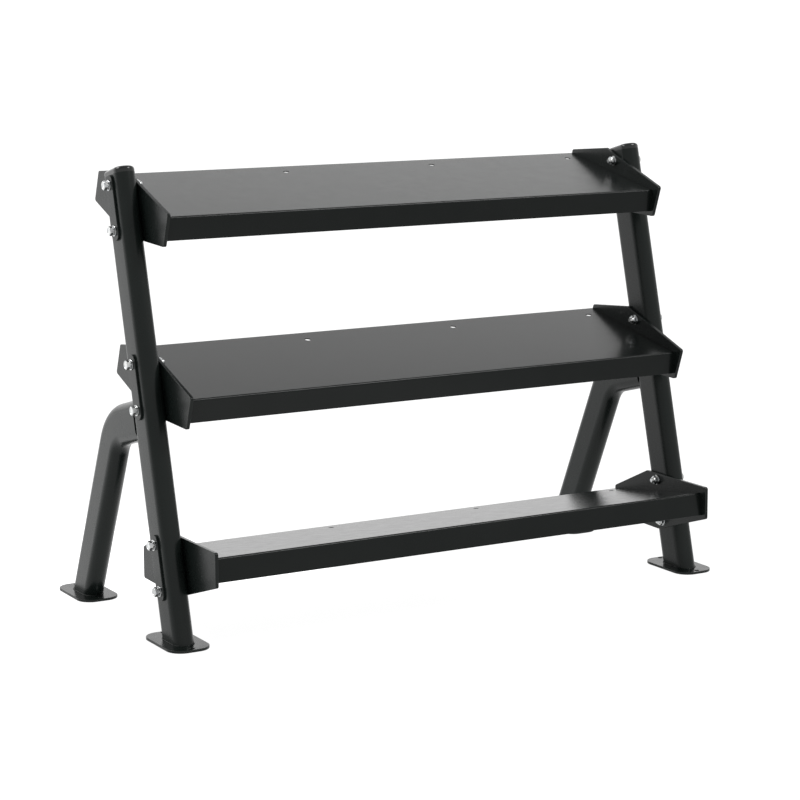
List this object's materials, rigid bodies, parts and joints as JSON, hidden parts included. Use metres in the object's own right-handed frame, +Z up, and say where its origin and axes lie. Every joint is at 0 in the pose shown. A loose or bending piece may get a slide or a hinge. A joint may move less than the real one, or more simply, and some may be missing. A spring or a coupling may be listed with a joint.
{
  "type": "dumbbell_rack",
  "caption": "Three-tier dumbbell rack: two leaning flat-oval steel side frames carry sloped folded sheet trays bolted between six-sided end plates",
  "frame": {"origin": "middle of the footprint, on the floor", "axes": "+X along the trays to the right end, +Y from the front lips to the rear feet, +Z up"},
  "size_m": [1.465, 0.7296, 1.0341],
  "materials": {
    "black_powder_coat": "satin-gloss black powder coat with a faint orange peel",
    "tray_powder_coat": "semi-gloss black powder coat on folded sheet",
    "cap_plastic": "black moulded plastic, slightly glossy",
    "zinc_plate": "bright zinc plating"
  },
  "bodies": {
    "root": {"left_upright": "black_powder_coat", "right_upright": "black_powder_coat", "left_upright_cap": "cap_plastic", "right_upright_cap": "cap_plastic", "left_front_foot": "black_powder_coat", "right_front_foot": "black_powder_coat", "left_rear_leg": "black_powder_coat", "right_rear_leg": "black_powder_coat", "left_rear_foot": "black_powder_coat", "right_rear_foot": "black_powder_coat", "top_tray": "tray_powder_coat", "middle_tray": "tray_powder_coat", "bottom_tray": "tray_powder_coat", "top_left_end_plate": "tray_powder_coat", "top_right_end_plate": "tray_powder_coat", "middle_left_end_plate": "tray_powder_coat", "middle_right_end_plate": "tray_powder_coat", "bottom_left_end_plate": "tray_powder_coat", "bottom_right_end_plate": "tray_powder_coat", "top_left_strap": "black_powder_coat", "top_right_strap": "black_powder_coat", "middle_left_strap": "black_powder_coat", "middle_right_strap": "black_powder_coat", "bottom_left_strap": "black_powder_coat", "bottom_right_strap": "black_powder_coat", "tray_bolts": "zinc_plate", "spring_washers": "zinc_plate", "outer_washers": "zinc_plate", "inner_washers": "zinc_plate", "lock_nuts": "zinc_plate"}
  },
  "joints": []
}
